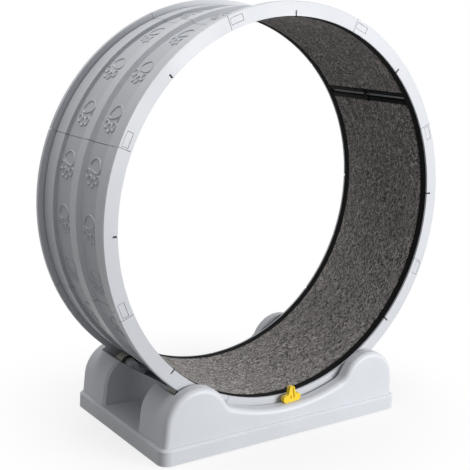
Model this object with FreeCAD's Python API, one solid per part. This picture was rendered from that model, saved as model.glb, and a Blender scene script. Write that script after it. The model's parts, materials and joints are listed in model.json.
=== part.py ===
import FreeCAD, Part
import math
import os

# Cat exercise wheel: a running drum of eight moulded segments, lined with a carpet mat,
# turns on four rollers in a one-piece moulded base. A yellow lock stops the drum.
# Millimetres. +Z is up, the drum's axis lies along Y and the front face is at -Y.
# The origin is on the floor under the centre of the base.

os.makedirs("parts", exist_ok=True)
Vec = FreeCAD.Vector

# ---- Drum ----
drum_outer_r = 400.0      # outside of the two rims
drum_w = 276.0            # from rim face to rim face
floor_gap = 46.0          # floor to the drum's lowest point
segment_count = 8
lock_deg = 2.7            # lock and slots, from straight down towards +X
seam_gap = 1.0            # open line between two segments, along the circumference

# Depths below are measured inwards from the outside of the rims.
rim_t = 10.0              # rim, along the axis
rim_face_h = 28.0         # rim's face, down to the lip that holds the mat in
rim_lip_t = 4.0
rim_chamfer = 1.6
groove_w = 4.0            # dark groove beside each rim
groove_depth = 19.0
track_w = 38.0            # ledge that the rollers run on
track_depth = 11.0
panel_depth = 18.0        # recessed panels between the tracks and the centre rib
wall_thickness = 5.0      # panel to the inner wall, which carries the mat
rib_w = 36.0              # centre rib
rib_slope = 5.0
rib_h = 8.0

# Tongue and window that snap one segment to the next, in each rim
tongue_len = 36.0         # along the circumference, past the seam
tongue_root_len = 8.0     # into its own segment
tongue_t = 4.0
tongue_h = 15.8
tongue_back_t = 2.2       # rim wall left behind the tongue
tongue_gap = 0.3          # tongue in its pocket
latch_gap = 0.8           # latch in its window
window_len = 28.0
window_h = 13.0
window_depth = 12.5       # its middle
window_seam_len = 3.0     # rim wall between the window and the seam

# Locking slots, at the middle of each segment and open to the lip
slot_w = 3.6
slot_h = 10.0             # above the lip
slot_depth = 8.0

# ---- Mat ----
mat_t = 5.5               # carpet
mat_gap = 0.3             # to the drum's wall, the lips and the binding
binding_w = 12.0          # black edge binding, as seen from inside
binding_t = 6.1
mat_joint_deg = 36.2      # where the mat's two ends meet
mat_joint_len = 13.0      # open gap between the ends' bindings
end_binding_w = 9.0
tie_w = 9.0               # strap that draws the two ends together
tie_t = 2.0

# ---- Base ----
drum_side_gap = 6.0       # rim face to the front and back walls
wall_t = 25.0             # front and back walls, beside the drum
wall_top_drop = 14.0      # their top follows the drum, this much inside its outside
trough_gap = 10.0         # under the rims
lip_round = 11.0          # soft outer edge of the walls
hump_r = 69.0             # round hump over each roller
hump_offset = 5.4         # hump's centre, nearer the middle than the axle
hump_above_axle = 32.5    # hump's crown
blend_r = 25.0            # hollow curve between a hump and the wall's top
end_draft_deg = 4.0       # ends lean outwards towards the floor
plinth_h = 33.0
plinth_corner_r = 20.0
plinth_chamfer = 4.0
plinth_step = 7.0         # the plinth stands proud of the body all round
body_root = 14.0          # body, let into the plinth
recess_wall_t = 2.5       # between the scoop in each end and the brackets
recess_depth = 106.0      # scoop, inwards from the body's end
recess_corner_r = 50.0
recess_chamfer = 4.5
foot_l = 46.0
foot_w = 20.0
foot_t = 4.0
foot_proud = 2.0
foot_inset = 20.0         # feet from the plinth's ends, and their middles from its sides
foot_gap = 0.3

# ---- Rollers ----
roller_angle_deg = 32.4   # each side of straight down
roller_r = 16.5           # over the rubber
roller_gap = 0.3          # rubber to track
roller_w = 34.0
roller_inset = 3.0        # roller's outer end, from the track's edge
hub_r = 16.0
ring_seat_r = 13.5        # spigot under the rubber ring
ring_w = 9.0
ring_fit = 0.05
axle_r = 4.0
axle_fit = 0.05           # running clearance in the bracket and the wall
hub_fit = 0.02            # hub on its axle
axle_grip = 6.0           # axle, into the wall
axle_end_gap = 1.5
pocket_gap = 4.0          # base around the roller

# Bracket that carries the inner end of each axle
bracket_t = 13.0
bracket_to_roller = 2.0
bracket_lobe_r = 11.5
bracket_tail_len = 32.0
bracket_tail_top = 3.0    # tail's top above the axle line
bracket_notch = 4.0       # foot of the slope between the lobe and the tail
bracket_foot_depth = 8.0  # into the base
bracket_gap = 0.2

# ---- Lock, which slides in a T-groove in the top of the front wall ----
pin_rim_gap = 1.2         # blade to rim, when free
blade_entry = 3.8         # blade into the rim's slot, when locked
knob_rim_gap = 2.2        # knob to rim, when locked
pin_fit = 0.2             # in its groove and over the wall's top
blade_w = 3.0
blade_h = 8.0
blade_slot_gap = 1.0      # blade under the slot's closed end
knob_t = 9.0              # bow-shaped knob, along Y
knob_w = 42.0
knob_h = 15.0
knob_round = 6.0
tab_foot_w = 18.0         # finger tab that rises from the knob
tab_top_w = 11.0
tab_h = 33.0              # above the wall's top
tab_round = 4.0
dish_rim = 2.4            # rim round the tab's dished front
dish_depth = 2.0
groove_neck_w = 6.0
groove_neck_h = 3.0
groove_foot_w = 12.0
groove_foot_h = 4.0

# ---- Worked out from the above ----
drum_half = drum_w / 2
drum_axis_h = drum_outer_r + floor_gap
axis_point = Vec(0, 0, drum_axis_h)
axis_dir = Vec(0, -1, 0)
segment_deg = 360.0 / segment_count
first_seam_deg = segment_deg / 2 + lock_deg
rim_lip_r = drum_outer_r - rim_face_h
groove_r = drum_outer_r - groove_depth
track_r = drum_outer_r - track_depth
panel_r = drum_outer_r - panel_depth
rib_r = panel_r + rib_h
drum_bore_r = panel_r - wall_thickness
window_mid_r = drum_outer_r - window_depth
slot_high_r = rim_lip_r + slot_h
rim_inner_y = drum_half - rim_t
track_outer_y = rim_inner_y - groove_w
track_inner_y = track_outer_y - track_w
lip_inner_y = drum_half - rim_lip_t
tongue_outer_y = rim_inner_y + tongue_back_t + tongue_gap + tongue_t
mat_outer_r = drum_bore_r - mat_gap
binding_outer_y = lip_inner_y - mat_gap
binding_inner_y = binding_outer_y - binding_w
mat_half_w = binding_inner_y - mat_gap
roller_axis_r = track_r + roller_gap + roller_r
roller_outer_y = track_outer_y - roller_inset
roller_inner_y = roller_outer_y - roller_w
roller_x = roller_axis_r * math.sin(math.radians(roller_angle_deg))
roller_z = drum_axis_h - roller_axis_r * math.cos(math.radians(roller_angle_deg))
bracket_outer_y = roller_inner_y - bracket_to_roller
bracket_inner_y = bracket_outer_y - bracket_t
trough_r = drum_outer_r + trough_gap
wall_inner_y = drum_half + drum_side_gap
wall_top_r = drum_outer_r - wall_top_drop
wall_top_z = drum_axis_h - wall_top_r
hump_x = roller_x - hump_offset
hump_z = roller_z + hump_above_axle - hump_r
body_half_w = wall_inner_y + wall_t
body_foot_z = plinth_h - body_root
end_lean = math.radians(end_draft_deg)


def end_x(z):
    """Distance of the body's leaning end from the middle, at a height under the hump."""
    return hump_x + hump_r / math.cos(end_lean) + (hump_z - z) * math.tan(end_lean)


plinth_half_l = end_x(plinth_h) + plinth_step
plinth_half_w = body_half_w + plinth_step
recess_half_w = bracket_inner_y - recess_wall_t
recess_inner_x = end_x(plinth_h) - recess_depth
pin_travel = pin_rim_gap + blade_entry
knob_back_y = drum_half + knob_rim_gap + pin_travel
knob_front_y = knob_back_y + knob_t


def degrees_of(length, radius):
    """Angle that a length along the circumference takes up."""
    return math.degrees(length / radius)


def turn(shape, angle):
    """Turn a shape about the drum's axis, from +X towards +Z."""
    moved = shape.copy()
    moved.rotate(axis_point, axis_dir, angle)
    return moved


def rounded_face(corners, place):
    """Face inside a closed outline of (u, v, corner radius); place maps (u, v) to space."""
    edges = []
    ends = []
    count = len(corners)
    for i in range(count):
        u, v, radius = corners[i]
        here = Vec(u, v, 0)
        before = Vec(corners[i - 1][0], corners[i - 1][1], 0) - here
        after = Vec(corners[(i + 1) % count][0], corners[(i + 1) % count][1], 0) - here
        if radius == 0:
            ends.append((here, here))
            continue
        before.normalize()
        after.normalize()
        half = before.getAngle(after) / 2
        reach = radius / math.tan(half)
        middle = before + after
        middle.normalize()
        start = here + before * reach
        stop = here + after * reach
        crest = here + middle * (radius / math.sin(half) - radius)
        arc = Part.Arc(place(start.x, start.y), place(crest.x, crest.y), place(stop.x, stop.y))
        edges.append(arc.toShape())
        ends.append((start, stop))
    for i in range(count):
        a = ends[i - 1][1]
        b = ends[i][0]
        if a.distanceToPoint(b) > 1e-6:
            edges.append(Part.LineSegment(place(a.x, a.y), place(b.x, b.y)).toShape())
    return Part.Face(Part.Wire(Part.__sortEdges__(edges)))


def ring_face(corners):
    """Half-plane outline of (y, radius, corner radius), ready to sweep round the axis."""
    return rounded_face(corners, lambda y, r: Vec(r, y, drum_axis_h))


def ring_box(y_low, y_high, r_low, r_high, start, sweep):
    """Curved bar of rectangular section round the drum's axis."""
    face = ring_face([(y_low, r_low, 0), (y_high, r_low, 0), (y_high, r_high, 0), (y_low, r_high, 0)])
    return turn(face, start).revolve(axis_point, axis_dir, sweep)


def cylinder_y(x, z, radius, y_low, y_high):
    """Cylinder along Y between two places."""
    return Part.makeCylinder(radius, y_high - y_low, Vec(x, y_low, z), Vec(0, 1, 0))


def tube_y(x, z, r_in, r_out, y_low, y_high):
    return cylinder_y(x, z, r_out, y_low, y_high).cut(cylinder_y(x, z, r_in, y_low, y_high))


def mirror_y(shape):
    """Copy of a shape on the other side of the drum's middle plane."""
    return shape.mirror(Vec(0, 0, 0), Vec(0, 1, 0))


def mirror_x(shape):
    return shape.mirror(Vec(0, 0, 0), Vec(1, 0, 0))


def both_sides(shape):
    return [shape, mirror_y(shape)]


def save(name, solids):
    """Write one node, as a single solid or as a group of separate solids."""
    shape = solids[0] if len(solids) == 1 else Part.makeCompound(solids)
    shape.exportStep("parts/" + name + ".step")
    print(name, "solids", len(shape.Solids), "volume", round(shape.Volume), "valid", shape.isValid())


# ---- Drum segments ----

def segment_section():
    """Section of the moulded wall: rims, grooves, tracks, panels and the centre rib."""
    near = [
        (drum_half, rim_lip_r, 0),
        (drum_half, drum_outer_r - rim_chamfer, 0),
        (drum_half - rim_chamfer, drum_outer_r, 0),
        (rim_inner_y, drum_outer_r, 0),
        (rim_inner_y, groove_r, 0),
        (track_outer_y, groove_r, 0),
        (track_outer_y, track_r, 0),
        (track_inner_y, track_r, 0),
        (track_inner_y, panel_r, 0),
        (rib_w / 2, panel_r, 0),
        (rib_w / 2 - rib_slope, rib_r, 0),
    ]
    inside = [(lip_inner_y, drum_bore_r, 0), (lip_inner_y, rim_lip_r, 0)]
    outline = near + [(-y, r, c) for y, r, c in reversed(near)]
    return ring_face(outline + [(-y, r, c) for y, r, c in reversed(inside)] + inside)


def rim_tongue(seam):
    """Tongue with its snap latch, from one segment into the rim of the segment before it."""
    mid_r = window_mid_r
    tongue = ring_box(
        tongue_outer_y - tongue_t, tongue_outer_y, mid_r - tongue_h / 2, mid_r + tongue_h / 2,
        seam - degrees_of(tongue_len, mid_r), degrees_of(tongue_len + tongue_root_len, mid_r),
    )
    latch_len = window_len - 2 * latch_gap
    latch_h = window_h - 2 * latch_gap
    latch = ring_box(
        tongue_outer_y - tongue_t / 2, drum_half - tongue_gap,
        mid_r - latch_h / 2, mid_r + latch_h / 2,
        seam - degrees_of(window_seam_len + latch_gap + latch_len, mid_r), degrees_of(latch_len, mid_r),
    )
    return tongue.fuse(latch)


def rim_pocket(seam):
    """Space in a rim for the next segment's tongue, with the window that its latch fills."""
    mid_r = window_mid_r
    half_h = tongue_h / 2 + tongue_gap
    past_seam = tongue_root_len / 2
    pocket = ring_box(
        tongue_outer_y - tongue_t - tongue_gap, tongue_outer_y + tongue_gap,
        mid_r - half_h, mid_r + half_h,
        seam - degrees_of(tongue_len + tongue_gap, mid_r),
        degrees_of(tongue_len + tongue_gap + past_seam, mid_r),
    )
    window = ring_box(
        tongue_outer_y, drum_half + rim_t,
        mid_r - window_h / 2, mid_r + window_h / 2,
        seam - degrees_of(window_seam_len + window_len, mid_r), degrees_of(window_len, mid_r),
    )
    return pocket.fuse(window)


def lock_slot(angle):
    """Slot in a rim's face, open to the lip, that the lock's blade enters."""
    low_r = rim_lip_r - rim_lip_t
    slot = Part.makeBox(
        slot_high_r - low_r, 2 * slot_depth, slot_w,
        Vec(low_r, drum_half - slot_depth, drum_axis_h - slot_w / 2),
    )
    return turn(slot, angle)


def drum_segment(index):
    seam = first_seam_deg + index * segment_deg
    next_seam = seam + segment_deg
    half_gap = degrees_of(seam_gap / 2, drum_outer_r)
    body = turn(segment_section(), seam + half_gap).revolve(
        axis_point, axis_dir, segment_deg - 2 * half_gap
    )
    tongue = rim_tongue(seam)
    pocket = rim_pocket(next_seam)
    slot = lock_slot(seam + segment_deg / 2)
    for cutter in both_sides(pocket) + both_sides(slot):
        body = body.cut(cutter)
    for piece in both_sides(tongue):
        body = body.fuse(piece)
    return body.removeSplitter()


# ---- Mat ----

joint_gap_deg = degrees_of(mat_joint_len, mat_outer_r)
end_binding_deg = degrees_of(end_binding_w, mat_outer_r)
mat_gap_deg = degrees_of(mat_gap, mat_outer_r)


def running_mat():
    """Carpet, one long strip bent round the drum's inner wall."""
    start = mat_joint_deg + joint_gap_deg / 2 + end_binding_deg + mat_gap_deg
    sweep = 360.0 - joint_gap_deg - 2 * end_binding_deg - 2 * mat_gap_deg
    return ring_box(-mat_half_w, mat_half_w, mat_outer_r - mat_t, mat_outer_r, start, sweep)


def edge_binding():
    """Binding along the mat's back edge: a closed ring behind the rim's lip."""
    outer = cylinder_y(0, drum_axis_h, mat_outer_r, binding_inner_y, binding_outer_y)
    inner = cylinder_y(0, drum_axis_h, mat_outer_r - binding_t, binding_inner_y, binding_outer_y)
    return outer.cut(inner)


def end_binding(side):
    """Binding across one end of the mat; side is 1 above the joint and -1 below it."""
    start = mat_joint_deg + joint_gap_deg / 2
    if side < 0:
        start = mat_joint_deg - joint_gap_deg / 2 - end_binding_deg
    return ring_box(
        -mat_half_w, mat_half_w, mat_outer_r - binding_t, mat_outer_r, start, end_binding_deg
    )


def mat_tie():
    """Short strap that bridges the mat's joint over both end bindings."""
    under = mat_outer_r - binding_t - mat_gap
    sweep = joint_gap_deg + 2 * end_binding_deg
    return ring_box(
        -tie_w / 2, tie_w / 2, under - tie_t, under, mat_joint_deg - sweep / 2, sweep
    )


# ---- Base ----

def arc_xz(centre, radius, start, stop):
    """Arc in the XZ plane about (x, z), between two angles from +X towards +Z."""
    points = []
    for angle in (start, (start + stop) / 2, stop):
        a = math.radians(angle)
        points.append(Vec(centre[0] + radius * math.cos(a), 0, centre[1] + radius * math.sin(a)))
    return Part.Arc(*points).toShape()


def hump_arcs():
    """Arcs of the left half of the side outline, each tangent to the next."""
    # The blend touches the hump from outside and the wall's top from inside.
    rise = drum_axis_h - hump_z
    apart = math.hypot(hump_x, rise)
    hump_side = hump_r + blend_r
    axis_side = wall_top_r - blend_r
    along = (hump_side ** 2 - axis_side ** 2 + apart ** 2) / (2 * apart)
    across = math.sqrt(hump_side ** 2 - along ** 2)
    blend_x = -hump_x + (hump_x * along + rise * across) / apart
    blend_z = hump_z + (rise * along - hump_x * across) / apart
    meet = math.degrees(math.atan2(blend_z - hump_z, blend_x + hump_x))
    leave = math.degrees(math.atan2(blend_z - drum_axis_h, blend_x)) + 360
    return [
        ((-hump_x, hump_z), hump_r, 180 - end_draft_deg, meet),
        ((blend_x, blend_z), blend_r, meet + 180, leave),
        ((0, drum_axis_h), wall_top_r, leave, 270),
    ]


def body_blank():
    """Humped body over its full depth, its long edges rounded."""
    left = [arc_xz(c, r, a, b) for c, r, a, b in hump_arcs()]
    right = [arc_xz((-c[0], c[1]), r, 180 - a, 180 - b) for c, r, a, b in hump_arcs()]
    top_x = hump_x + hump_r * math.cos(end_lean)
    top_z = hump_z + hump_r * math.sin(end_lean)
    foot_x = end_x(body_foot_z)
    corners = [
        Vec(-top_x, 0, top_z),
        Vec(-foot_x, 0, body_foot_z),
        Vec(foot_x, 0, body_foot_z),
        Vec(top_x, 0, top_z),
    ]
    straight = [Part.LineSegment(a, b).toShape() for a, b in zip(corners, corners[1:])]
    face = Part.Face(Part.Wire(Part.__sortEdges__(left + right + straight)))
    face.translate(Vec(0, -body_half_w, 0))
    body = face.extrude(Vec(0, 2 * body_half_w, 0))
    rims = []
    for edge in body.Edges:
        box = edge.BoundBox
        if box.YLength < lip_round and box.ZMax > plinth_h:
            rims.append(edge)
    return body.makeFillet(lip_round, rims)


def plinth():
    height = plinth_h - foot_proud
    block = Part.makeBox(
        2 * plinth_half_l, 2 * plinth_half_w, height, Vec(-plinth_half_l, -plinth_half_w, foot_proud)
    )
    upright = [e for e in block.Edges if e.BoundBox.ZLength > height / 2]
    block = block.makeFillet(plinth_corner_r, upright)
    top = [e for e in block.Edges if e.BoundBox.ZMin > plinth_h - height / 2]
    return block.makeChamfer(plinth_chamfer, top)


def end_recess():
    """Scoop in the left end, with rounded inner corners."""
    outer_x = -2 * plinth_half_l
    face = rounded_face(
        [
            (outer_x, -recess_half_w, 0),
            (-recess_inner_x, -recess_half_w, recess_corner_r),
            (-recess_inner_x, recess_half_w, recess_corner_r),
            (outer_x, recess_half_w, 0),
        ],
        lambda x, y: Vec(x, y, 0),
    )
    return face.extrude(Vec(0, 0, drum_axis_h))


def recess_edges(body):
    """Upright edges where the two scoops break through the body's ends."""
    found = []
    for edge in body.Edges:
        box = edge.BoundBox
        middle = box.Center
        on_side = abs(abs(middle.y) - recess_half_w) + box.YLength < bracket_gap
        from_axis = math.hypot(middle.x, drum_axis_h - middle.z)
        if on_side and from_axis > trough_r + recess_chamfer and box.ZLength > recess_chamfer:
            found.append(edge)
    return found


def bracket_prism(grow):
    """Back-left bracket's outline as a solid, larger all round by grow."""
    low = roller_axis_r - trough_r - bracket_foot_depth - grow
    tail = bracket_tail_len + grow
    slope = bracket_lobe_r + bracket_notch
    face = rounded_face(
        [
            (-bracket_lobe_r - grow, low, 0),
            (tail, low, 0),
            (tail, bracket_tail_top + grow, 0),
            (slope, bracket_tail_top + grow, 0),
            (0, bracket_lobe_r + grow, 0),
            (-bracket_lobe_r - grow, 0, 0),
        ],
        lambda u, v: Vec(u - roller_x, bracket_inner_y - grow, roller_z + v),
    )
    shape = face.extrude(Vec(0, bracket_t + 2 * grow, 0))
    low_y = bracket_inner_y - grow
    high_y = bracket_outer_y + grow
    shape = shape.fuse(cylinder_y(-roller_x, roller_z, bracket_lobe_r + grow, low_y, high_y))
    shape.rotate(Vec(-roller_x, 0, roller_z), Vec(0, 1, 0), roller_angle_deg)
    return shape


def roller_space():
    """Room in the base for the back-left roller, its axle and its bracket."""
    pocket_y = bracket_outer_y + bracket_gap
    pocket = cylinder_y(-roller_x, roller_z, roller_r + pocket_gap, pocket_y, wall_inner_y)
    hole_end = wall_inner_y + axle_grip + axle_end_gap
    hole = cylinder_y(-roller_x, roller_z, axle_r + axle_fit, pocket_y, hole_end)
    return pocket.fuse(hole).fuse(bracket_prism(bracket_gap))


def foot(x, y, grow):
    """Rubber pad centred on (x, y), larger on its sides by grow."""
    length = foot_l + 2 * grow
    width = foot_w + 2 * grow
    return Part.makeBox(length, width, foot_t, Vec(x - length / 2, y - width / 2, 0))


def foot_places():
    x = plinth_half_l - foot_inset - foot_l / 2
    y = plinth_half_w - foot_inset
    return [(sx * x, sy * y) for sx in (-1, 1) for sy in (-1, 1)]


def base_shell():
    body = body_blank()
    body = body.cut(cylinder_y(0, drum_axis_h, trough_r, -wall_inner_y, wall_inner_y))
    body = body.cut(end_recess()).cut(mirror_x(end_recess()))
    body = body.makeChamfer(recess_chamfer, recess_edges(body))
    base = body.fuse(plinth())
    base = base.cut(pin_slide(0, -knob_front_y - pin_fit, 0))
    space = roller_space()
    for cutter in both_sides(space) + both_sides(mirror_x(space)):
        base = base.cut(cutter)
    for x, y in foot_places():
        base = base.cut(foot(x, y, foot_gap))
    return base.removeSplitter()


# ---- Rollers, for the back-left corner, then copied to the other three ----

def roller_hub():
    """Turned hub with a spigot for the rubber ring at its end towards the front."""
    ring_end = roller_inner_y + ring_w
    hub = cylinder_y(-roller_x, roller_z, hub_r, ring_end, roller_outer_y)
    hub = hub.fuse(cylinder_y(-roller_x, roller_z, ring_seat_r, roller_inner_y, ring_end))
    bore = cylinder_y(-roller_x, roller_z, axle_r + hub_fit, roller_inner_y, roller_outer_y)
    return hub.cut(bore)


def roller_ring():
    """Rubber ring, which the track runs on."""
    ring_end = roller_inner_y + ring_w - ring_fit
    return tube_y(-roller_x, roller_z, ring_seat_r + ring_fit, roller_r, roller_inner_y, ring_end)


def roller_axle():
    return cylinder_y(
        -roller_x, roller_z, axle_r, bracket_inner_y + axle_end_gap, wall_inner_y + axle_grip
    )


def roller_bracket():
    """Inner bearing bracket: a round lobe with a sloped tail, let into the base."""
    hole = cylinder_y(-roller_x, roller_z, axle_r + axle_fit, bracket_inner_y, bracket_outer_y)
    return bracket_prism(0).cut(hole).removeSplitter()


def slid_to_front(shape):
    """Copy of a back roller's piece at the front, the same way round."""
    moved = shape.copy()
    moved.translate(Vec(0, -roller_inner_y - roller_outer_y, 0))
    return moved


def feet():
    return [foot(x, y, 0) for x, y in foot_places()]


# ---- Lock ----

def pin_slide(shrink, front_y, back_y):
    """T-shaped bar in the front wall's top: the groove, or with shrink the lock's foot."""
    top = wall_top_z + groove_neck_h
    neck_z = wall_top_z - groove_neck_h
    foot_z = neck_z - groove_foot_h
    neck_x = groove_neck_w / 2 - shrink
    foot_x = groove_foot_w / 2 - shrink
    outline = [
        (-foot_x, foot_z + shrink), (foot_x, foot_z + shrink), (foot_x, neck_z - shrink),
        (neck_x, neck_z - shrink), (neck_x, top), (-neck_x, top),
        (-neck_x, neck_z - shrink), (-foot_x, neck_z - shrink),
    ]
    face = rounded_face([(x, z, 0) for x, z in outline], lambda x, z: Vec(x, front_y, z))
    return turn(face.extrude(Vec(0, back_y - front_y, 0)), lock_deg)


def lock_pin():
    """Yellow lock: a bow-shaped knob with a dished finger tab, a T-foot and a flat blade."""
    low = wall_top_z + (knob_w / 2) ** 2 / (2 * wall_top_r) + pin_fit
    high = low + knob_h
    top = wall_top_z + tab_h
    knob = rounded_face(
        [
            (-knob_w / 2, low, knob_round),
            (knob_w / 2, low, knob_round),
            (knob_w / 2, high, knob_round),
            (tab_foot_w / 2, high, tab_round),
            (tab_top_w / 2, top, tab_round),
            (-tab_top_w / 2, top, tab_round),
            (-tab_foot_w / 2, high, tab_round),
            (-knob_w / 2, high, knob_round),
        ],
        lambda x, z: Vec(x, -knob_front_y, z),
    ).extrude(Vec(0, knob_t, 0))
    dish = rounded_face(
        [
            (-tab_foot_w / 2 + dish_rim, high - knob_h / 2, 0),
            (tab_foot_w / 2 - dish_rim, high - knob_h / 2, 0),
            (tab_top_w / 2 - dish_rim, top - dish_rim, tab_round - dish_rim),
            (-tab_top_w / 2 + dish_rim, top - dish_rim, tab_round - dish_rim),
        ],
        lambda x, z: Vec(x, -knob_front_y, z),
    ).extrude(Vec(0, dish_depth, 0))
    blade_low = drum_axis_h - slot_high_r + blade_slot_gap
    blade = Part.makeBox(
        blade_w, knob_t + knob_rim_gap + blade_entry, blade_h,
        Vec(-blade_w / 2, -knob_front_y, blade_low),
    )
    body = turn(knob.cut(dish).fuse(blade), lock_deg)
    foot = pin_slide(pin_fit, -knob_front_y, -knob_back_y)
    return body.fuse(foot).removeSplitter()


def main():
    for index in range(segment_count):
        save("drum_segment_%d" % (index + 1), [drum_segment(index)])
    save("running_mat", [running_mat()])
    save("mat_binding_back", [edge_binding()])
    save("mat_binding_front", [mirror_y(edge_binding())])
    save("mat_end_binding_upper", [end_binding(1)])
    save("mat_end_binding_lower", [end_binding(-1)])
    save("mat_tie", [mat_tie()])
    save("base_shell", [base_shell()])
    save("rubber_feet", feet())
    for name, shape, to_front in (
        ("roller_hub_", roller_hub(), slid_to_front),
        ("roller_rings_", roller_ring(), slid_to_front),
        ("roller_axle_", roller_axle(), mirror_y),
        ("roller_bracket_", roller_bracket(), mirror_y),
    ):
        save(name + "back_left", [shape])
        save(name + "back_right", [mirror_x(shape)])
        save(name + "front_left", [to_front(shape)])
        save(name + "front_right", [to_front(mirror_x(shape))])
    save("lock_pin", [lock_pin()])


main()
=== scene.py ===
# Looks of a cat exercise wheel: a moulded drum lined with carpet, its rollers, base and lock.
# Metres, +Z up, the drum's axis along Y and the front at -Y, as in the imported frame.
import json
import math

import bmesh
import bpy
from mathutils import Matrix, Vector, noise


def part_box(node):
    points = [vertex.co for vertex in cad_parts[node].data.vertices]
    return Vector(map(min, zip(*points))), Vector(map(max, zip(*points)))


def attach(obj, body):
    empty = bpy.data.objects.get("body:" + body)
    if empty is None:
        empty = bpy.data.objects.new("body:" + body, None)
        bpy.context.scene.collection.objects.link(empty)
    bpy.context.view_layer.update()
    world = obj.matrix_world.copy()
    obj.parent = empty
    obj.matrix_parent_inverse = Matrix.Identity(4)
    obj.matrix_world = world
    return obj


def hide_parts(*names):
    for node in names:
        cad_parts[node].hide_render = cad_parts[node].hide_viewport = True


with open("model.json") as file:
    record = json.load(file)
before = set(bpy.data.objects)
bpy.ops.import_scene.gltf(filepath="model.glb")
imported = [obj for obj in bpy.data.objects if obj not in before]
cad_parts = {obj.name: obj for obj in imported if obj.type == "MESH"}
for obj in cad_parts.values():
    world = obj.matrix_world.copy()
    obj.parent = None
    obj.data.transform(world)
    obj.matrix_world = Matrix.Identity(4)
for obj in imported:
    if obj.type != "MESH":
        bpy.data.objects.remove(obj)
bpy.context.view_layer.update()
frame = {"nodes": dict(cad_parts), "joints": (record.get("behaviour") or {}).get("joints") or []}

bl_info = {
    "name": "Cat exercise wheel",
    "version": (1, 0, 0),
    "blender": (4, 5, 0),
    "location": "View3D > Sidebar > Wheel",
    "description": "Finishes and soft goods of a cat exercise wheel around its fixed frame",
    "category": "Object",
}

NODES = frame["nodes"]
SEGMENTS = sorted(name for name in NODES if name.startswith("drum_segment_"))
CORNERS = ("back_left", "back_right", "front_left", "front_right")
SPIN = next(joint for joint in frame["joints"] if joint["name"] == "drum_spin")
AXIS = Vector(SPIN["pos_m"])

# Places on the frame that its own boxes don't give.
FIRST_SEAM = math.radians(25.2)
PANEL_R = 0.382
PANEL_MIDDLE_Y = 0.052
PANEL_SIDES_Y = (0.0178, 0.0862)
ROLLER_ANGLE = math.radians(32.4)
ROLLER_AXIS_R = 0.4058
BRACKET_MIDDLE_Y = 0.0785
# The back rollers stand this far behind the front ones, and every hub has its lines of painted groove
# shade at the same places.
HUB_PITCH = 0.208
HUB_LINES = (0.1035, 0.1115)
HUB_LINE_W = 0.001

# The photograph is 470 pixels square; its optical centre lies right of the middle and a little high.
IMAGE_PX = 470
OPTICAL_CENTRE_PX = (300, 215)

# Soft round lamps: place and width.
KEY_LAMP = (Vector((1.6, -3.0, 0.95)), 1.9)
TOP_LAMP = (Vector((-0.5, 0.15, 2.8)), 2.2)


# ---- Sizes and colours that a user may change ----

class WheelColours(bpy.types.PropertyGroup):
    drum: bpy.props.FloatVectorProperty(
        name="Drum", description="Light bluish grey plastic of the drum's segments",
        subtype="COLOR", min=0, max=1, default=(0.575, 0.592, 0.628),
    )
    base: bpy.props.FloatVectorProperty(
        name="Base", description="Light grey plastic of the base and its brackets",
        subtype="COLOR", min=0, max=1, default=(0.64, 0.66, 0.70),
    )
    rollers: bpy.props.FloatVectorProperty(
        name="Rollers", description="Cream plastic of the roller hubs",
        subtype="COLOR", min=0, max=1, default=(0.72, 0.70, 0.60),
    )
    lock: bpy.props.FloatVectorProperty(
        name="Lock", description="Yellow plastic of the lock",
        subtype="COLOR", min=0, max=1, default=(0.88, 0.62, 0.02),
    )


class MatSizes(bpy.types.PropertyGroup):
    """The carpet strip and its bindings, lying against the drum's inner wall."""

    carpet_t: bpy.props.FloatProperty(
        name="Carpet", description="Thickness of the carpet with its pile",
        unit="LENGTH", default=0.0055,
    )
    binding_w: bpy.props.FloatProperty(
        name="Binding width", description="Tape along the two long edges",
        unit="LENGTH", default=0.016,
    )
    binding_t: bpy.props.FloatProperty(
        name="Binding thickness", description="Carpet's edge with the tape folded round it",
        unit="LENGTH", default=0.0061,
    )
    end_binding_w: bpy.props.FloatProperty(
        name="End binding width", description="Tape across the two ends",
        unit="LENGTH", default=0.0115,
    )
    joint_angle: bpy.props.FloatProperty(
        name="Joint", description="Where the two ends meet, from +X towards +Z",
        subtype="ANGLE", default=math.radians(36.2),
    )
    joint_len: bpy.props.FloatProperty(
        name="Joint's gap", description="Open gap between the two ends",
        unit="LENGTH", default=0.008,
    )
    gap: bpy.props.FloatProperty(
        name="Clearance", description="Between the carpet and its bindings",
        unit="LENGTH", default=0.0003,
    )
    grid: bpy.props.FloatProperty(
        name="Grid", description="Mesh spacing of the carpet's pile",
        unit="LENGTH", default=0.004, min=0.002,
    )
    pile: bpy.props.FloatProperty(
        name="Pile relief", description="Height of the tufts' uneven surface",
        unit="LENGTH", default=0.0006,
    )
    stitch_pitch: bpy.props.FloatProperty(
        name="Stitch pitch", description="From one stitch to the next",
        unit="LENGTH", default=0.006, min=0.002,
    )


class PawSizes(bpy.types.PropertyGroup):
    """Raised paw prints on the drum's outer panels."""

    per_row: bpy.props.IntProperty(
        name="Prints per row", description="Round the drum", default=24, min=1,
    )
    bead_w: bpy.props.FloatProperty(
        name="Bead width", description="Raised outline of a pad", unit="LENGTH", default=0.0032,
    )
    bead_h: bpy.props.FloatProperty(
        name="Bead height", description="Above the panel", unit="LENGTH", default=0.0020,
    )
    sway: bpy.props.FloatProperty(
        name="Sway", description="Prints stand this much to either side, in turn",
        unit="LENGTH", default=0.003,
    )
    turn: bpy.props.FloatProperty(
        name="Turn", description="Prints point this much to either side, in turn",
        subtype="ANGLE", default=math.radians(12),
    )


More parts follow.
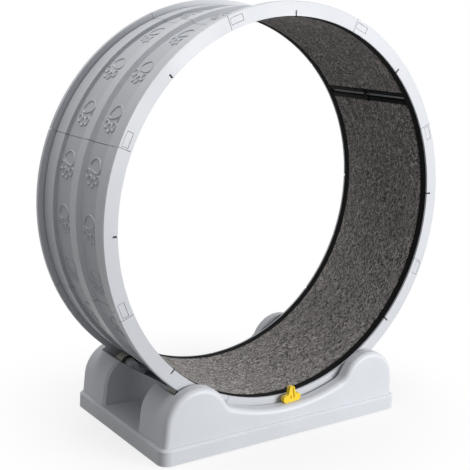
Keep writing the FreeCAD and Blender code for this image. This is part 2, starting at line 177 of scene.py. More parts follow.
class StageSettings(bpy.types.PropertyGroup):
    azimuth: bpy.props.FloatProperty(
        name="Azimuth", description="Camera's direction round the wheel, from straight in front",
        subtype="ANGLE", default=math.radians(-39.01),
    )
    elevation: bpy.props.FloatProperty(
        name="Elevation", description="Camera's direction above the horizon",
        subtype="ANGLE", default=math.radians(10.56),
    )
    roll: bpy.props.FloatProperty(
        name="Roll", description="Camera's tilt about its own view",
        subtype="ANGLE", default=math.radians(3.61),
    )
    distance: bpy.props.FloatProperty(
        name="Distance", description="From the drum's centre to the camera, along the view",
        unit="LENGTH", default=1.924,
    )
    right: bpy.props.FloatProperty(
        name="Right", description="Camera's place to the right of the drum's centre",
        unit="LENGTH", default=0.1016,
    )
    up: bpy.props.FloatProperty(
        name="Up", description="Camera's place above the drum's centre, across the view",
        unit="LENGTH", default=-0.0300,
    )
    focal_px: bpy.props.FloatProperty(
        name="Focal length", description="In pixels of the photograph",
        default=940.7, min=1,
    )
    key_power: bpy.props.FloatProperty(
        name="Key lamp", description="Soft lamp in front of the wheel, to the right",
        unit="POWER", default=110, min=0,
    )
    top_power: bpy.props.FloatProperty(
        name="Top lamp", description="Wide soft lamp overhead",
        unit="POWER", default=38, min=0,
    )
    ambient: bpy.props.FloatProperty(
        name="Ambient", description="Even light from all round", default=0.23, min=0,
    )


# ---- Shader helpers ----

def new_material(name):
    """A material with its Principled shader, ready for its own sockets."""
    material = bpy.data.materials.new(name)
    material.use_nodes = True
    return material, material.node_tree.nodes["Principled BSDF"]


def add(tree, kind, **sockets):
    """A node of one kind with its inputs set; a socket given as an input is linked."""
    node = tree.nodes.new(kind)
    for name, value in sockets.items():
        put(tree, node.inputs[name.replace("_", " ")], value)
    return node


def put(tree, socket, value):
    if isinstance(value, bpy.types.NodeSocket):
        tree.links.new(value, socket)
    else:
        socket.default_value = value


def dress(name, material):
    """Give one node of the frame its finish."""
    obj = NODES[name]
    obj.data.materials.clear()
    obj.data.materials.append(material)


def new_group(name, inputs, outputs):
    """An effect as a node group; inputs are (name, kind, default) and outputs (name, kind)."""
    tree = bpy.data.node_groups.new(name, "ShaderNodeTree")
    for label, kind, default in inputs:
        socket = tree.interface.new_socket(name=label, in_out="INPUT", socket_type="NodeSocket" + kind)
        socket.default_value = default
    for label, kind in outputs:
        tree.interface.new_socket(name=label, in_out="OUTPUT", socket_type="NodeSocket" + kind)
    return tree, tree.nodes.new("NodeGroupInput").outputs, tree.nodes.new("NodeGroupOutput").inputs


def use_group(tree, group, **sockets):
    node = tree.nodes.new("ShaderNodeGroup")
    node.node_tree = group
    for name, value in sockets.items():
        put(tree, node.inputs[name.replace("_", " ")], value)
    return node.outputs


def scale_of(tree, size):
    """Texture scale for a feature of the given size in metres."""
    node = tree.nodes.new("ShaderNodeMath")
    node.operation = "DIVIDE"
    node.inputs[0].default_value = 1.0
    put(tree, node.inputs[1], size)
    return node.outputs[0]


def maths(tree, operation, *values):
    node = tree.nodes.new("ShaderNodeMath")
    node.operation = operation
    for socket, value in zip(node.inputs, values):
        put(tree, socket, value)
    return node.outputs[0]


def spread(tree, value, low, high, to_low, to_high):
    """Value mapped from one range to another and kept inside it."""
    node = add(
        tree, "ShaderNodeMapRange", Value=value,
        From_Min=low, From_Max=high, To_Min=to_low, To_Max=to_high,
    )
    return node.outputs["Result"]


def bump(tree, height, depth, normal=None):
    node = add(tree, "ShaderNodeBump", Height=height, Distance=depth)
    if normal is not None:
        put(tree, node.inputs["Normal"], normal)
    return node.outputs["Normal"]


def blend_colours(tree, factor, dark, light):
    node = tree.nodes.new("ShaderNodeMix")
    node.data_type = "RGBA"
    put(tree, node.inputs["Factor"], factor)
    put(tree, node.inputs[6], dark)
    put(tree, node.inputs[7], light)
    return node.outputs[2]


def mould_grain():
    """Fine satin grain of a moulded surface, with faint broad unevenness of its sheen."""
    tree, given, result = new_group(
        "mould grain",
        [("Coordinates", "Vector", (0, 0, 0)), ("Grain", "Float", 0.0012), ("Depth", "Float", 0.00004)],
        [("Normal", "Vector"), ("Sheen", "Float")],
    )
    grain = add(
        tree, "ShaderNodeTexNoise", Vector=given["Coordinates"],
        Scale=scale_of(tree, given["Grain"]), Detail=3.0, Roughness=0.6,
    )
    broad = add(tree, "ShaderNodeTexNoise", Vector=given["Coordinates"], Scale=9.0, Detail=4.0)
    put(tree, result["Normal"], bump(tree, grain.outputs["Fac"], given["Depth"]))
    put(tree, result["Sheen"], spread(tree, broad.outputs["Fac"], 0.3, 0.7, 0.0, 1.0))
    return tree


def heathered_carpet():
    """Squiggling light and dark fibres over fine ribs that run along the strip."""
    tree, given, result = new_group(
        "heathered carpet",
        [("Strip", "Vector", (0, 0, 0)), ("Fibre", "Float", 0.0056), ("Rib", "Float", 0.0055)],
        [("Fleck", "Float"), ("Wear", "Float"), ("Normal", "Vector")],
    )
    # The fibres are drawn out along the strip.
    drawn = add(tree, "ShaderNodeMapping", Vector=given["Strip"], Scale=(0.55, 1.10, 1.0))
    fleck = add(
        tree, "ShaderNodeTexNoise", Vector=drawn.outputs["Vector"],
        Scale=scale_of(tree, given["Fibre"]), Detail=2.5, Roughness=0.62, Distortion=2.2,
    )
    wear = add(tree, "ShaderNodeTexNoise", Vector=given["Strip"], Scale=14.0, Detail=3.0)
    parts = add(tree, "ShaderNodeSeparateXYZ", Vector=given["Strip"])
    across = maths(tree, "DIVIDE", parts.outputs["Y"], given["Rib"])
    wave = maths(tree, "SINE", maths(tree, "MULTIPLY", across, 2 * math.pi))
    rib = spread(tree, wave, -1.0, 1.0, 0.0, 0.35)
    tuft = spread(tree, fleck.outputs["Fac"], 0.42, 0.55, 0.0, 1.0)
    height = maths(tree, "ADD", tuft, rib)
    put(tree, result["Fleck"], tuft)
    put(tree, result["Wear"], spread(tree, wear.outputs["Fac"], 0.32, 0.68, 0.0, 1.0))
    put(tree, result["Normal"], bump(tree, height, 0.0016))
    return tree


def tape_weave():
    """Plain weave of a narrow tape: threads along it and across it, over and under in turn."""
    tree, given, result = new_group(
        "tape weave",
        [("Strip", "Vector", (0, 0, 0)), ("Thread", "Float", 0.0009)],
        [("Thread height", "Float"), ("Normal", "Vector")],
    )
    parts = add(tree, "ShaderNodeSeparateXYZ", Vector=given["Strip"])
    turns = maths(tree, "DIVIDE", math.pi, given["Thread"])
    along = maths(tree, "SINE", maths(tree, "MULTIPLY", parts.outputs["X"], turns))
    across = maths(tree, "SINE", maths(tree, "MULTIPLY", parts.outputs["Y"], turns))
    height = spread(tree, maths(tree, "MULTIPLY", along, across), -1.0, 1.0, 0.0, 1.0)
    put(tree, result["Thread height"], height)
    put(tree, result["Normal"], bump(tree, height, 0.0003))
    return tree


def panel_mask():
    """1 on the two bands round the drum that hold its outer panels, and 0 elsewhere: where the drum's
    painted shade and dullness go.
    """
    tree, given, result = new_group(
        "panel mask",
        [
            ("Coordinates", "Vector", (0, 0, 0)),
            ("From", "Float", PANEL_SIDES_Y[0]), ("To", "Float", PANEL_SIDES_Y[1]),
        ],
        [("Mask", "Float")],
    )
    parts = add(tree, "ShaderNodeSeparateXYZ", Vector=given["Coordinates"])
    aside = maths(tree, "ABSOLUTE", parts.outputs["Y"])
    past_rib = maths(tree, "GREATER_THAN", aside, given["From"])
    before_track = maths(tree, "LESS_THAN", aside, given["To"])
    put(tree, result["Mask"], maths(tree, "MULTIPLY", past_rib, before_track))
    return tree


def drum_plastic(colour, panel_shade_tone=0.92, panel_dullness=0.18):
    """The drum's plastic, duller on its outer panels and darker there with painted shade."""
    material = plastic("drum plastic", colour, 0.42)
    tree = material.node_tree
    shader = tree.nodes["Principled BSDF"]
    coords = tree.nodes.new("ShaderNodeTexCoord").outputs["Object"]
    mask = use_group(tree, bpy.data.node_groups["panel mask"], Coordinates=coords)["Mask"]
    smooth = shader.inputs["Base Color"].links[0].from_socket
    # Painted shade: the outer panels' colour is scaled down for the shade they lie in, turned away from
    # the key lamp.
    darker = tree.nodes.new("ShaderNodeVectorMath")
    darker.operation = "SCALE"
    put(tree, darker.inputs[0], smooth)
    put(tree, darker.inputs["Scale"], panel_shade_tone)
    put(tree, shader.inputs["Base Color"], blend_colours(tree, mask, smooth, darker.outputs[0]))
    sheen = shader.inputs["Roughness"].links[0].from_socket
    dull = maths(tree, "ADD", sheen, maths(tree, "MULTIPLY", mask, panel_dullness))
    put(tree, shader.inputs["Roughness"], dull)
    return material


def plastic(name, colour, roughness, grain=0.0012, depth=0.00004, lines=None):
    """Moulded plastic with a fine grain and faint patches; lines is a mask of thin dark lines of
    painted shade.
    """
    patch_tone, patch_sheen = 0.955, 0.06
    material, shader = new_material(name)
    tree = material.node_tree
    coords = tree.nodes.new("ShaderNodeTexCoord").outputs["Object"]
    effect = use_group(
        tree, bpy.data.node_groups["mould grain"], Coordinates=coords, Grain=grain, Depth=depth
    )
    patches = tuple(patch_tone * c for c in colour)
    tint = blend_colours(tree, effect["Sheen"], (*patches, 1), (*colour, 1))
    if lines is not None:
        # Painted shade: thin dark lines where the mask is 1.
        tint = blend_colours(tree, lines(tree, coords), tint, (0.03, 0.03, 0.03, 1))
    put(tree, shader.inputs["Base Color"], tint)
    put(tree, shader.inputs["Roughness"], spread(
        tree, effect["Sheen"], 0.0, 1.0, roughness - patch_sheen, roughness + patch_sheen
    ))
    put(tree, shader.inputs["Normal"], effect["Normal"])
    return material


def roller_groove_shade(tree, coords):
    """Mask of two thin lines round each hub, painted shade of two grooves."""
    parts = add(tree, "ShaderNodeSeparateXYZ", Vector=coords)
    place = maths(tree, "WRAP", parts.outputs["Y"], HUB_PITCH, 0.0)
    masks = []
    for line in HUB_LINES:
        away = maths(tree, "ABSOLUTE", maths(tree, "SUBTRACT", place, line))
        masks.append(maths(tree, "LESS_THAN", away, HUB_LINE_W / 2))
    return maths(tree, "MAXIMUM", *masks)


def strip_coordinates(tree):
    """The UV map that runs along a piece of the mat, in metres."""
    node = tree.nodes.new("ShaderNodeUVMap")
    node.uv_map = "strip"
    return node.outputs["UV"]


def carpet_material():
    material, shader = new_material("carpet")
    tree = material.node_tree
    effect = use_group(tree, bpy.data.node_groups["heathered carpet"], Strip=strip_coordinates(tree))
    fibres = blend_colours(tree, effect["Fleck"], (0.022, 0.020, 0.021, 1), (0.66, 0.61, 0.59, 1))
    wear = maths(tree, "MULTIPLY", effect["Wear"], 0.28)
    worn = blend_colours(tree, wear, fibres, (0.30, 0.285, 0.275, 1))
    put(tree, shader.inputs["Base Color"], worn)
    put(tree, shader.inputs["Normal"], effect["Normal"])
    shader.inputs["Roughness"].default_value = 0.95
    shader.inputs["Specular IOR Level"].default_value = 0.15
    shader.inputs["Sheen Weight"].default_value = 0.25
    shader.inputs["Sheen Roughness"].default_value = 0.6
    return material


def tape_material():
    material, shader = new_material("black tape")
    tree = material.node_tree
    effect = use_group(tree, bpy.data.node_groups["tape weave"], Strip=strip_coordinates(tree))
    put(tree, shader.inputs["Base Color"], blend_colours(
        tree, effect["Thread height"], (0.002, 0.002, 0.002, 1), (0.009, 0.009, 0.010, 1)
    ))
    put(tree, shader.inputs["Normal"], effect["Normal"])
    shader.inputs["Roughness"].default_value = 0.85
    shader.inputs["Specular IOR Level"].default_value = 0.12
    return material


def rubber(name, grain):
    return plastic(name, (0.022, 0.022, 0.023), 0.7, grain=grain, depth=0.0001)


def turned_steel():
    """Zinc plated steel with fine marks round its axis."""
    material, shader = new_material("steel")
    tree = material.node_tree
    coords = tree.nodes.new("ShaderNodeTexCoord").outputs["Object"]
    stretched = add(tree, "ShaderNodeMapping", Vector=coords, Scale=(40, 2600, 40))
    marks = add(tree, "ShaderNodeTexNoise", Vector=stretched.outputs["Vector"], Scale=1.0, Detail=2.0)
    put(tree, shader.inputs["Roughness"], spread(tree, marks.outputs["Fac"], 0.3, 0.7, 0.25, 0.42))
    put(tree, shader.inputs["Normal"], bump(tree, marks.outputs["Fac"], 0.00002))
    shader.inputs["Base Color"].default_value = (0.58, 0.58, 0.57, 1)
    shader.inputs["Metallic"].default_value = 1.0
    return material


# ---- Mesh helpers ----

def on_drum(angle, y, radius):
    """Point at an angle round the drum's axis, from +X towards +Z."""
    return Vector((AXIS.x + radius * math.cos(angle), y, AXIS.z + radius * math.sin(angle)))


def new_piece(name, bm, material, body, smooth=True):
    """Object of the mesh so far: closed, normals outward, riding on one body."""
    bmesh.ops.recalc_face_normals(bm, faces=bm.faces)
    mesh = bpy.data.meshes.new(name)
    bm.to_mesh(mesh)
    bm.free()
    for polygon in mesh.polygons:
        polygon.use_smooth = smooth
    mesh.materials.append(material)
    piece = bpy.data.objects.new(name, mesh)
    bpy.context.scene.collection.objects.link(piece)
    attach(piece, body)
    return piece


def set_strip_uv(bm, radius, start, along_y=False):
    """UV in metres: along the strip round the drum, and across it."""
    layer = bm.loops.layers.uv.new("strip")
    for face in bm.faces:
        turns = []
        for loop in face.loops:
            offset = loop.vert.co - AXIS
            turns.append((math.atan2(offset.z, offset.x) - start) % (2 * math.pi))
        if max(turns) - min(turns) > math.pi:
            turns = [t + 2 * math.pi if t < math.pi else t for t in turns]
        for loop, turn in zip(face.loops, turns):
            offset = loop.vert.co - AXIS
            depth = math.hypot(offset.x, offset.z) - radius
            round_drum = turn * radius
            if along_y:
                loop[layer].uv = (offset.y, round_drum + depth)
            else:
                loop[layer].uv = (round_drum, offset.y + depth)


def rounded_section(width, height, corner, steps=4):
    """Closed outline (u, v) of a rectangle with round corners, u along the width."""
    outline = []
    for quarter, (cu, cv) in enumerate(((1, 1), (-1, 1), (-1, -1), (1, -1))):
        for i in range(steps + 1):
            a = math.radians(90 * quarter + 90 * i / steps)
            outline.append((
                cu * (width / 2 - corner) + corner * math.cos(a),
                cv * (height / 2 - corner) + corner * math.sin(a),
            ))
    return outline


def closed_loop(bm, points):
    verts = [bm.verts.new(p) for p in points]
    return verts, [bm.edges.new((a, b)) for a, b in zip(verts, verts[1:] + verts[:1])]


# ---- Pieces ----

def mat_numbers(sizes):
    """Radii and angles that the mat's pieces share."""
    low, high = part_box("mat_binding_front")
    outer_r = (high[0] - low[0]) / 2
    outer_y = -low[1]
    return {
        "outer_r": outer_r,
        "pile_r": outer_r - sizes.carpet_t,
        "half_w": outer_y - sizes.binding_w - sizes.gap,
        "start": sizes.joint_angle + (sizes.joint_len / 2 + sizes.end_binding_w + sizes.gap) / outer_r,
        "sweep": 2 * math.pi - (sizes.joint_len + 2 * sizes.end_binding_w + 2 * sizes.gap) / outer_r,
    }


def carpet_strip(sizes):
    """The carpet, a closed strip whose inner face has the pile's uneven tufts."""
    n = mat_numbers(sizes)
    length = n["sweep"] * n["outer_r"]
    tufts_per_metre = 170
    bm = bmesh.new()
    bmesh.ops.create_grid(
        bm, size=0.5,
        x_segments=round(length / sizes.grid), y_segments=round(2 * n["half_w"] / sizes.grid),
    )
    for vert in bm.verts:
        angle = n["start"] + (vert.co.x + 0.5) * n["sweep"]
        vert.co = on_drum(angle, 2 * vert.co.y * n["half_w"], n["pile_r"])
    bm.normal_update()
    bmesh.ops.solidify(bm, geom=bm.faces[:], thickness=sizes.carpet_t)
    for vert in bm.verts:
        offset = vert.co - AXIS
        radius = math.hypot(offset.x, offset.z)
        if radius < n["outer_r"] - sizes.carpet_t / 2:
            lift = noise.noise(vert.co * tufts_per_metre) * sizes.pile
            out = Vector((offset.x, 0, offset.z)) / radius
            vert.co -= out * max(lift, -sizes.pile)
    set_strip_uv(bm, n["outer_r"], n["start"] - 0.001)
    return new_piece("carpet_strip", bm, carpet_material(), "drum")


def edge_tape(name, side, sizes, material):
    """Tape folded round one long edge of the carpet, a closed ring."""
    n = mat_numbers(sizes)
    middle_r = n["outer_r"] - sizes.binding_t / 2
    middle_y = side * (n["half_w"] + sizes.gap + sizes.binding_w / 2)
    bm = bmesh.new()
    section = rounded_section(sizes.binding_w, sizes.binding_t, 0.0022)
    _, edges = closed_loop(bm, [on_drum(0, middle_y + u, middle_r + v) for u, v in section])
    bmesh.ops.spin(
        bm, geom=edges, cent=AXIS, axis=(0, -1, 0), angle=2 * math.pi, steps=240, use_merge=True
    )
    set_strip_uv(bm, n["outer_r"], sizes.joint_angle)
    return new_piece(name, bm, material, "drum")


def end_tape(name, side, sizes, material):
    """Tape folded round one end of the carpet, straight across the strip."""
    n = mat_numbers(sizes)
    middle_r = n["outer_r"] - sizes.binding_t / 2
    middle = sizes.joint_angle + side * (sizes.joint_len + sizes.end_binding_w) / 2 / n["outer_r"]
    bm = bmesh.new()
    section = rounded_section(sizes.end_binding_w, sizes.binding_t, 0.0022)
    verts, _ = closed_loop(
        bm, [on_drum(middle + u / middle_r, -n["half_w"], middle_r + v) for u, v in section]
    )
    face = bm.faces.new(verts)
    made = bmesh.ops.extrude_face_region(bm, geom=[face])
    far = [v for v in made["geom"] if isinstance(v, bmesh.types.BMVert)]
    bmesh.ops.translate(bm, verts=far, vec=(0, 2 * n["half_w"], 0))
    set_strip_uv(bm, n["outer_r"], sizes.joint_angle - 0.5, along_y=True)
    return new_piece(name, bm, material, "drum")


def tie_strap(sizes, material):
    """Short strap over both end tapes, sewn down at its two ends."""
    n = mat_numbers(sizes)
    width, thick = 0.009, 0.002
    under_r = n["outer_r"] - sizes.binding_t - sizes.gap
    half = (sizes.joint_len / 2 + sizes.end_binding_w) / n["outer_r"]
    bm = bmesh.new()
    section = rounded_section(width, thick, 0.0007, steps=2)
    verts, _ = closed_loop(
        bm, [on_drum(sizes.joint_angle - half, u, under_r - thick / 2 + v) for u, v in section]
    )
    near = bm.faces.new(verts)
    bmesh.ops.spin(bm, geom=[near], cent=AXIS, axis=(0, -1, 0), angle=2 * half, steps=10)
    set_strip_uv(bm, n["outer_r"], sizes.joint_angle - 0.5)
    return new_piece("tie_strap", bm, material, "drum")


def stitches(sizes):
    """Stitches along the bindings, across the ends and in two rows near the joint."""
    n = mat_numbers(sizes)
    length, thick = sizes.stitch_pitch * 0.62, 0.0007
    on_edge_tape, on_end_tape = 0.003, 0.0065  # from the carpet's side and from the joint's gap
    hem_rows = (0.058, 0.064)  # from the joint's middle
    top_r = n["outer_r"] - sizes.binding_t
    places = []
    count = round(2 * math.pi * n["outer_r"] / sizes.stitch_pitch)
    for side in (-1, 1):
        y = side * (n["half_w"] + sizes.gap + on_edge_tape)
        places += [(2 * math.pi * i / count, y, top_r, True) for i in range(count)]
    rows = [(side * (sizes.joint_len / 2 + on_end_tape), top_r) for side in (-1, 1)]
    rows += [(side * row, n["pile_r"]) for side in (-1, 1) for row in hem_rows]
    across = int(2 * n["half_w"] / sizes.stitch_pitch)
    for along, radius in rows:
        angle = sizes.joint_angle + along / n["outer_r"]
        for i in range(across):
            places.append((angle, (i + 0.5 - across / 2) * sizes.stitch_pitch, radius, False))
    bm = bmesh.new()
    for angle, y, radius, lengthways in places:
        long_axis = Vector((-math.sin(angle), 0, math.cos(angle))) if lengthways else Vector((0, 1, 0))
        up = Vector((math.cos(angle), 0, math.sin(angle)))
        frame3 = Matrix((long_axis * length, up * thick, long_axis.cross(up) * thick)).transposed()
        place = Matrix.Translation(on_drum(angle, y, radius)) @ frame3.to_4x4()
        bmesh.ops.create_icosphere(bm, subdivisions=1, radius=0.5, matrix=place)
    material = plastic("thread", (0.05, 0.05, 0.052), 0.75, grain=0.0005, depth=0.00008)
    return new_piece("stitches", bm, material, "drum")


PAW_PADS = (
    # along, across, half length, half width, turn; metres and degrees
    (-0.0095, 0.0, 0.0125, 0.0195, 0),
    (0.0105, -0.0200, 0.0075, 0.0062, 24),
    (0.0190, -0.0070, 0.0080, 0.0060, 8),
    (0.0190, 0.0070, 0.0080, 0.0060, -8),
    (0.0105, 0.0200, 0.0075, 0.0062, -24),
)


def paw_print(sizes):
    """Mesh of one flat print, along X: a closed bead round each pad."""
    bm = bmesh.new()
    for along, across, half_l, half_w, tilt in PAW_PADS:
        pad = bmesh.new()
        quarter = sizes.bead_w / 4 / half_w
        # Half-round bead sunk a little into the panel: quarters of its width, and height.
        section = [(-2, -0.0008), (-2, 0), (-1, 0.75 * sizes.bead_h), (0, sizes.bead_h)]
        section += [(-u, v) for u, v in reversed(section[:3])]
        _, edges = closed_loop(pad, [Vector((1 + u * quarter, 0, v)) for u, v in section])
        bmesh.ops.spin(
            pad, geom=edges, cent=(0, 0, 0), axis=(0, 0, 1), angle=2 * math.pi, steps=20, use_merge=True
        )
        lobes = 0.10 if tilt == 0 else 0.0  # only the large pad has three lobes
        for vert in pad.verts:
            bulge = 1 - lobes * math.cos(3 * math.atan2(vert.co.y, vert.co.x))
            vert.co.x *= bulge * half_l
            vert.co.y *= bulge * half_w
        place = Matrix.Translation((along, across, 0)) @ Matrix.Rotation(math.radians(tilt), 4, "Z")
        bmesh.ops.transform(pad, matrix=place, verts=pad.verts)
        mesh = bpy.data.meshes.new("pad")
        pad.to_mesh(mesh)
        pad.free()
        bm.from_mesh(mesh)
        bpy.data.meshes.remove(mesh)
    mesh = bpy.data.meshes.new("paw print")
    bm.to_mesh(mesh)
    bm.free()
    return mesh


def paw_reliefs(sizes, material):
    """Two rows of raised paw prints round the drum, on its outer panels."""
    flat = paw_print(sizes)
    step = 2 * math.pi / sizes.per_row
    bm = bmesh.new()
    for row in (-1, 1):
        for i in range(sizes.per_row):
            swing = 1 if i % 2 else -1
            angle = FIRST_SEAM + (i + 0.5) * step
            y = row * PANEL_MIDDLE_Y + swing * sizes.sway
            lean = Matrix.Rotation(swing * sizes.turn, 4, "Z")
            count = len(bm.verts)
            bm.from_mesh(flat)
            bm.verts.ensure_lookup_table()
            for vert in bm.verts[count:]:
                at = lean @ vert.co
                vert.co = on_drum(angle + at.x / PANEL_R, y + at.y, PANEL_R + at.z)
    bpy.data.meshes.remove(flat)
    return new_piece("paw_reliefs", bm, material, "drum")


def bracket_screws(material):
    """A screw head in each bracket's tail, almost flush with it."""
    along_tail, above_axle = 0.024, 0.0030
    foot_r, top_r, height = 0.0032, 0.0028, 0.0012
    bm = bmesh.new()
    for side_x in (-1, 1):
        for side_y in (-1, 1):
            out = Vector((-side_x * math.sin(ROLLER_ANGLE), 0, math.cos(ROLLER_ANGLE)))
            along = Vector((-side_x * math.cos(ROLLER_ANGLE), 0, -math.sin(ROLLER_ANGLE)))
            roller = AXIS - out * ROLLER_AXIS_R
            place = roller + along * along_tail + out * above_axle
            place.y = side_y * BRACKET_MIDDLE_Y
            across = out.cross(along)
            axes = Matrix((along, across, out)).transposed().to_4x4()
            base = Matrix.Translation(place) @ axes
            bmesh.ops.create_cone(
                bm, cap_ends=True, segments=28, radius1=foot_r, radius2=top_r, depth=height,
                matrix=base @ Matrix.Translation((0, 0, -0.0002)),
            )
    return new_piece("bracket_screws", bm, material, "base", smooth=False)


# ---- Operators ----

class WHEEL_OT_effects(bpy.types.Operator):
    """Make the surface effects that the finishes share"""

    bl_idname = "wheel.effects"
    bl_label = "Surface effects"

    def execute(self, context):
        mould_grain()
        heathered_carpet()
        tape_weave()
        panel_mask()
        return {"FINISHED"}


class WHEEL_OT_drum(bpy.types.Operator):
    """Finish the drum's moulded segments and add the raised paw prints"""

    bl_idname = "wheel.drum"
    bl_label = "Drum"

    def execute(self, context):
        material = drum_plastic(context.scene.wheel_colours.drum)
        for name in SEGMENTS:
            dress(name, material)
        paw_reliefs(context.scene.wheel_paws, material)
        return {"FINISHED"}


class WHEEL_OT_mat(bpy.types.Operator):
    """Lay the carpet strip with its bindings, strap and stitching"""

    bl_idname = "wheel.mat"
    bl_label = "Mat"

    def execute(self, context):
        sizes = context.scene.wheel_mat
        tape = tape_material()
        carpet = carpet_strip(sizes)
        front = edge_tape("edge_tape_front", -1, sizes, tape)
        back = edge_tape("edge_tape_back", 1, sizes, tape)
        upper = end_tape("end_tape_upper", 1, sizes, tape)
        lower = end_tape("end_tape_lower", -1, sizes, tape)
        strap = tie_strap(sizes, tape)
        thread = stitches(sizes)
        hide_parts("running_mat")
        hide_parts("mat_binding_front")
        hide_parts("mat_binding_back")
        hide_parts("mat_end_binding_upper")
        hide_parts("mat_end_binding_lower")
        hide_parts("mat_tie")
        return {"FINISHED"}


class WHEEL_OT_base(bpy.types.Operator):
    """Finish the base, its brackets and its feet"""

    bl_idname = "wheel.base"
    bl_label = "Base"

    def execute(self, context):
        material = plastic("base plastic", context.scene.wheel_colours.base, 0.44)
        dress("base_shell", material)
        for corner in CORNERS:
            dress("roller_bracket_" + corner, material)
        dress("rubber_feet", rubber("foot rubber", 0.002))
        return {"FINISHED"}


class WHEEL_OT_rollers(bpy.types.Operator):
    """Finish the rollers and their axles and put the screws in the brackets"""

    bl_idname = "wheel.rollers"
    bl_label = "Rollers"

    def execute(self, context):
        nylon = plastic(
            "cream nylon", context.scene.wheel_colours.rollers, 0.34,
            grain=0.0008, depth=0.00002, lines=roller_groove_shade,
        )
        ring = rubber("ring rubber", 0.0008)
        steel = turned_steel()
        for corner in CORNERS:
            dress("roller_hub_" + corner, nylon)
            dress("roller_rings_" + corner, ring)
            dress("roller_axle_" + corner, steel)
        bracket_screws(steel)
        return {"FINISHED"}


class WHEEL_OT_lock(bpy.types.Operator):
    """Finish the yellow lock"""

    bl_idname = "wheel.lock"
    bl_label = "Lock"

    def execute(self, context):
        colour = context.scene.wheel_colours.lock
        dress("lock_pin", plastic("lock plastic", colour, 0.3, grain=0.0009, depth=0.00002))
        return {"FINISHED"}


class WHEEL_OT_stage(bpy.types.Operator):
    """Floor, even light, two soft lamps and the camera"""

    bl_idname = "wheel.stage"
    bl_label = "Stage"

    def execute(self, context):
        settings = context.scene.wheel_stage
        build_floor()
        build_world(context.scene, settings.ambient)
        area_lamp("key lamp", *KEY_LAMP, settings.key_power)
        area_lamp("top lamp", *TOP_LAMP, settings.top_power)
        place_camera(context.scene, settings)
        return {"FINISHED"}


# ---- Stage ----

def camera_or_mirror(tree):
    """1 for the rays that should see the white background, 0 for the ones that carry light."""
    path = tree.nodes.new("ShaderNodeLightPath").outputs
    seen = maths(tree, "MAXIMUM", path["Is Camera Ray"], path["Is Glossy Ray"])
    return maths(tree, "MAXIMUM", seen, path["Is Transmission Ray"])


def build_world(scene, ambient):
    world = bpy.data.worlds.new("studio")
    world.use_nodes = True
    scene.world = world
    tree = world.node_tree
    background = tree.nodes["Background"]
    background.inputs["Color"].default_value = (1, 1, 1, 1)
    strength = spread(tree, camera_or_mirror(tree), 0.0, 1.0, ambient, 1.0)
    put(tree, background.inputs["Strength"], strength)


def build_floor():
    """Large pale disc under the wheel: it keeps the shadow near the base and is white further out."""
    radius, shadow_from, shadow_to, least_white = 30.0, 0.15, 0.62, 0.72
    bounce, looks = (0.30, 0.30, 0.30, 1), (0.94, 0.94, 0.94, 1)
    bm = bmesh.new()
    bmesh.ops.create_circle(bm, cap_ends=True, segments=64, radius=radius)
    mesh = bpy.data.meshes.new("floor")
    bm.to_mesh(mesh)
    bm.free()
    floor = bpy.data.objects.new("floor", mesh)
    bpy.context.scene.collection.objects.link(floor)
    material, shader = new_material("floor")
    shader.inputs["Roughness"].default_value = 0.9
    tree = material.node_tree
    seen = camera_or_mirror(tree)
    put(tree, shader.inputs["Base Color"], blend_colours(tree, seen, bounce, looks))
    away = tree.nodes.new("ShaderNodeVectorMath")
    away.operation = "LENGTH"
    put(tree, away.inputs[0], tree.nodes.new("ShaderNodeTexCoord").outputs["Object"])
    fade = add(
        tree, "ShaderNodeMapRange", Value=away.outputs["Value"],
        From_Min=shadow_from, From_Max=shadow_to, To_Min=least_white,
    )
    fade.interpolation_type = "SMOOTHSTEP"
    mix = add(tree, "ShaderNodeMixShader", Fac=maths(tree, "MULTIPLY", fade.outputs["Result"], seen))
    put(tree, mix.inputs[1], shader.outputs["BSDF"])
    put(tree, mix.inputs[2], tree.nodes.new("ShaderNodeEmission").outputs["Emission"])
    put(tree, tree.nodes["Material Output"].inputs["Surface"], mix.outputs["Shader"])
    mesh.materials.append(material)


def area_lamp(name, place, width, power):
    """Soft round lamp that faces the drum's centre."""
    light = bpy.data.lights.new(name, "AREA")
    light.shape = "DISK"
    light.size = width
    light.energy = power
    lamp = bpy.data.objects.new(name, light)
    lamp.location = place
    lamp.rotation_euler = (AXIS - place).to_track_quat("-Z", "Y").to_euler()
    bpy.context.scene.collection.objects.link(lamp)


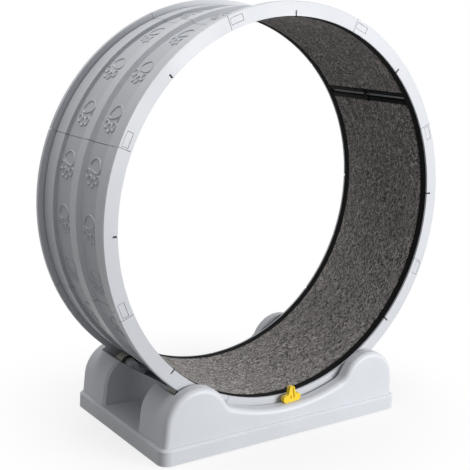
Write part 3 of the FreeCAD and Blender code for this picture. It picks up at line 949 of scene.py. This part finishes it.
def place_camera(scene, settings):
    """Camera where the photograph was taken from, with its optical centre as a small shift."""
    azimuth, elevation, roll = settings.azimuth, settings.elevation, settings.roll
    back = Vector((
        math.sin(azimuth) * math.cos(elevation),
        -math.cos(azimuth) * math.cos(elevation),
        math.sin(elevation),
    ))
    level = Vector((math.cos(azimuth), math.sin(azimuth), 0))
    upright = back.cross(level)
    right = math.cos(roll) * level + math.sin(roll) * upright
    up = math.cos(roll) * upright - math.sin(roll) * level
    camera = bpy.data.cameras.new("camera")
    camera.lens = settings.focal_px / IMAGE_PX * camera.sensor_width
    camera.shift_x = (IMAGE_PX / 2 - OPTICAL_CENTRE_PX[0]) / IMAGE_PX
    camera.shift_y = (OPTICAL_CENTRE_PX[1] - IMAGE_PX / 2) / IMAGE_PX
    obj = bpy.data.objects.new("camera", camera)
    place = AXIS + back * settings.distance + right * settings.right + up * settings.up
    turned = Matrix((right, up, back)).transposed().to_4x4()
    obj.matrix_world = Matrix.Translation(place) @ turned
    scene.collection.objects.link(obj)
    scene.camera = obj
    scene.view_settings.view_transform = "Standard"


# ---- Panel and registration ----

class VIEW3D_PT_wheel(bpy.types.Panel):
    """Steps that dress the wheel"""

    bl_label = "Cat exercise wheel"
    bl_space_type = "VIEW_3D"
    bl_region_type = "UI"
    bl_category = "Wheel"

    def draw(self, context):
        for step in STEPS:
            self.layout.operator(step.bl_idname)


STEPS = (
    WHEEL_OT_effects, WHEEL_OT_drum, WHEEL_OT_mat, WHEEL_OT_base,
    WHEEL_OT_rollers, WHEEL_OT_lock, WHEEL_OT_stage,
)
GROUPS = {
    "wheel_colours": WheelColours,
    "wheel_mat": MatSizes,
    "wheel_paws": PawSizes,
    "wheel_stage": StageSettings,
}


def register():
    for cls in (*GROUPS.values(), *STEPS, VIEW3D_PT_wheel):
        bpy.utils.register_class(cls)
    for name, group in GROUPS.items():
        setattr(bpy.types.Scene, name, bpy.props.PointerProperty(type=group))


def unregister():
    for name in GROUPS:
        delattr(bpy.types.Scene, name)
    for cls in (VIEW3D_PT_wheel, *reversed(STEPS), *reversed(GROUPS.values())):
        bpy.utils.unregister_class(cls)


def main():
    register()
    bpy.ops.wheel.effects()
    bpy.ops.wheel.drum()
    bpy.ops.wheel.mat()
    bpy.ops.wheel.base()
    bpy.ops.wheel.rollers()
    bpy.ops.wheel.lock()
    bpy.ops.wheel.stage()


if __name__ == "__main__":
    main()
